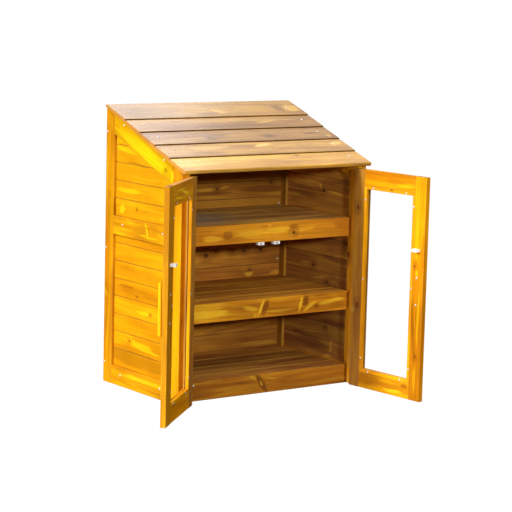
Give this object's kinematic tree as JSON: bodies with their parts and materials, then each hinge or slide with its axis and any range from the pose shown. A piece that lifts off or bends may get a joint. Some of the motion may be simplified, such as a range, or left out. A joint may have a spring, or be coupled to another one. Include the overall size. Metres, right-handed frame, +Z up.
{
  "type": "garden storage cabinet",
  "caption": "Lean-to garden cabinet of stained softwood: boarded walls, lapped sloping roof, deep-fronted shelves and a pair of framed doors with clear panes.",
  "frame": {"origin": "centre of the carcass's footprint, on the ground, at the underside of the middle floor bearer", "axes": "+X towards the cabinet's right wall as seen by someone facing its doors, +Y towards the back, +Z up"},
  "size_m": [1.0448, 0.8649, 1.0089],
  "materials": {
    "frame_timber": "satin translucent stain",
    "cladding_timber": "satin translucent stain",
    "roof_timber": "satin translucent stain",
    "door_timber": "satin translucent stain",
    "clear_sheet": "clear, glossy",
    "zinc_plated_steel": "bright zinc plating",
    "white_plastic": "satin",
    "magnet": "dull nickel"
  },
  "bodies": {
    "cabinet": {"left_front_stile": "frame_timber", "left_back_stile": "frame_timber", "left_bottom_rail": "frame_timber", "left_middle_rail": "frame_timber", "left_top_rail": "frame_timber", "right_front_stile": "frame_timber", "right_back_stile": "frame_timber", "right_bottom_rail": "frame_timber", "right_middle_rail": "frame_timber", "right_top_rail": "frame_timber", "floor_fascia": "frame_timber", "lower_shelf_fascia": "frame_timber", "upper_shelf_fascia": "frame_timber", "floor_cleats": "frame_timber", "lower_shelf_cleats": "frame_timber", "upper_shelf_cleats": "frame_timber", "floor_bearer": "frame_timber", "back_battens": "frame_timber", "roof_battens": "frame_timber", "left_lower_boards": "cladding_timber", "left_upper_boards": "cladding_timber", "right_lower_boards": "cladding_timber", "right_upper_boards": "cladding_timber", "back_boards": "cladding_timber", "floor_boards": "cladding_timber", "lower_shelf_boards": "cladding_timber", "upper_shelf_boards": "cladding_timber", "roof_board_front": "roof_timber", "roof_board_second": "roof_timber", "roof_board_middle": "roof_timber", "roof_board_fourth": "roof_timber", "roof_board_back": "roof_timber", "wall_hinge_leaves": "zinc_plated_steel", "hinge_pins": "zinc_plated_steel", "frame_screws": "zinc_plated_steel", "roof_screws": "zinc_plated_steel", "catch_cases": "white_plastic", "catch_magnets": "magnet"},
    "left_door": {"left_door_hinge_stile": "door_timber", "left_door_meeting_stile": "door_timber", "left_door_bottom_rail": "door_timber", "left_door_top_rail": "door_timber", "left_door_beads": "door_timber", "left_door_handle": "door_timber", "left_door_pane": "clear_sheet", "left_door_strike": "white_plastic", "left_door_hinge_leaves": "zinc_plated_steel", "left_door_screws": "zinc_plated_steel"},
    "right_door": {"right_door_hinge_stile": "door_timber", "right_door_meeting_stile": "door_timber", "right_door_bottom_rail": "door_timber", "right_door_top_rail": "door_timber", "right_door_beads": "door_timber", "right_door_handle": "door_timber", "right_door_pane": "clear_sheet", "right_door_strike": "white_plastic", "right_door_hinge_leaves": "zinc_plated_steel", "right_door_screws": "zinc_plated_steel"}
  },
  "joints": [
    {"name": "left_door_hinge", "type": "hinge", "parent": "cabinet", "child": "left_door", "pos_m": [-0.3669, -0.251, 0.401], "axis": [0, 0, -1], "range_deg": [-137.8, 42.2]},
    {"name": "right_door_hinge", "type": "hinge", "parent": "cabinet", "child": "right_door", "pos_m": [0.3669, -0.251, 0.401], "axis": [0, 0, 1], "range_deg": [-94.4, 85.6]}
  ]
}
